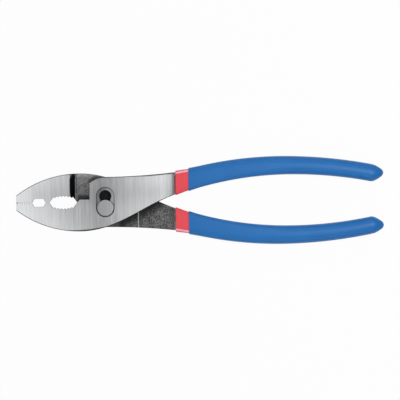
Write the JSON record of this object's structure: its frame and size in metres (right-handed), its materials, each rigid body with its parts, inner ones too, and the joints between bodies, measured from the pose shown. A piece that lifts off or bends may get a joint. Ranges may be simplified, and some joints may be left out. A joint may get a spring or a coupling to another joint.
{
  "type": "slip joint pliers",
  "caption": "Slip joint pliers with a serrated nose, toothed wire and pipe grips, a slotted pivot with a flush bolt head, and curved handles dipped in vinyl with a contrasting collar.",
  "frame": {"origin": "middle of the closed tool's box, on the back face that it lies on", "axes": "+X from the jaws to the handles, +Y towards the upper handle, +Z out of the front face with the bolt head"},
  "size_m": [0.2, 0.048, 0.01],
  "materials": {
    "ground_steel": "faces ground across the tool, sides and lap faces left as blasted forging",
    "pivot_steel": "turned and ground flush",
    "red_vinyl": "dipped, satin",
    "blue_vinyl": "dipped, satin"
  },
  "bodies": {
    "front_lever": {"front_half": "ground_steel", "upper_sleeve": "red_vinyl", "upper_grip": "blue_vinyl"},
    "pivot": {"pivot_bolt": "pivot_steel", "pivot_nut": "pivot_steel"},
    "rear_lever": {"rear_half": "ground_steel", "lower_sleeve": "red_vinyl", "lower_grip": "blue_vinyl"}
  },
  "joints": [
    {"name": "slip", "type": "slide", "parent": "front_lever", "child": "pivot", "axis": [0, 1, 0], "range_m": [0, 0.0064]},
    {"name": "jaw_hinge", "type": "hinge", "parent": "pivot", "child": "rear_lever", "pos_m": [-0.0516, -0.0032, 0.005], "axis": [0, 0, -1], "range_deg": [0, 36]}
  ]
}
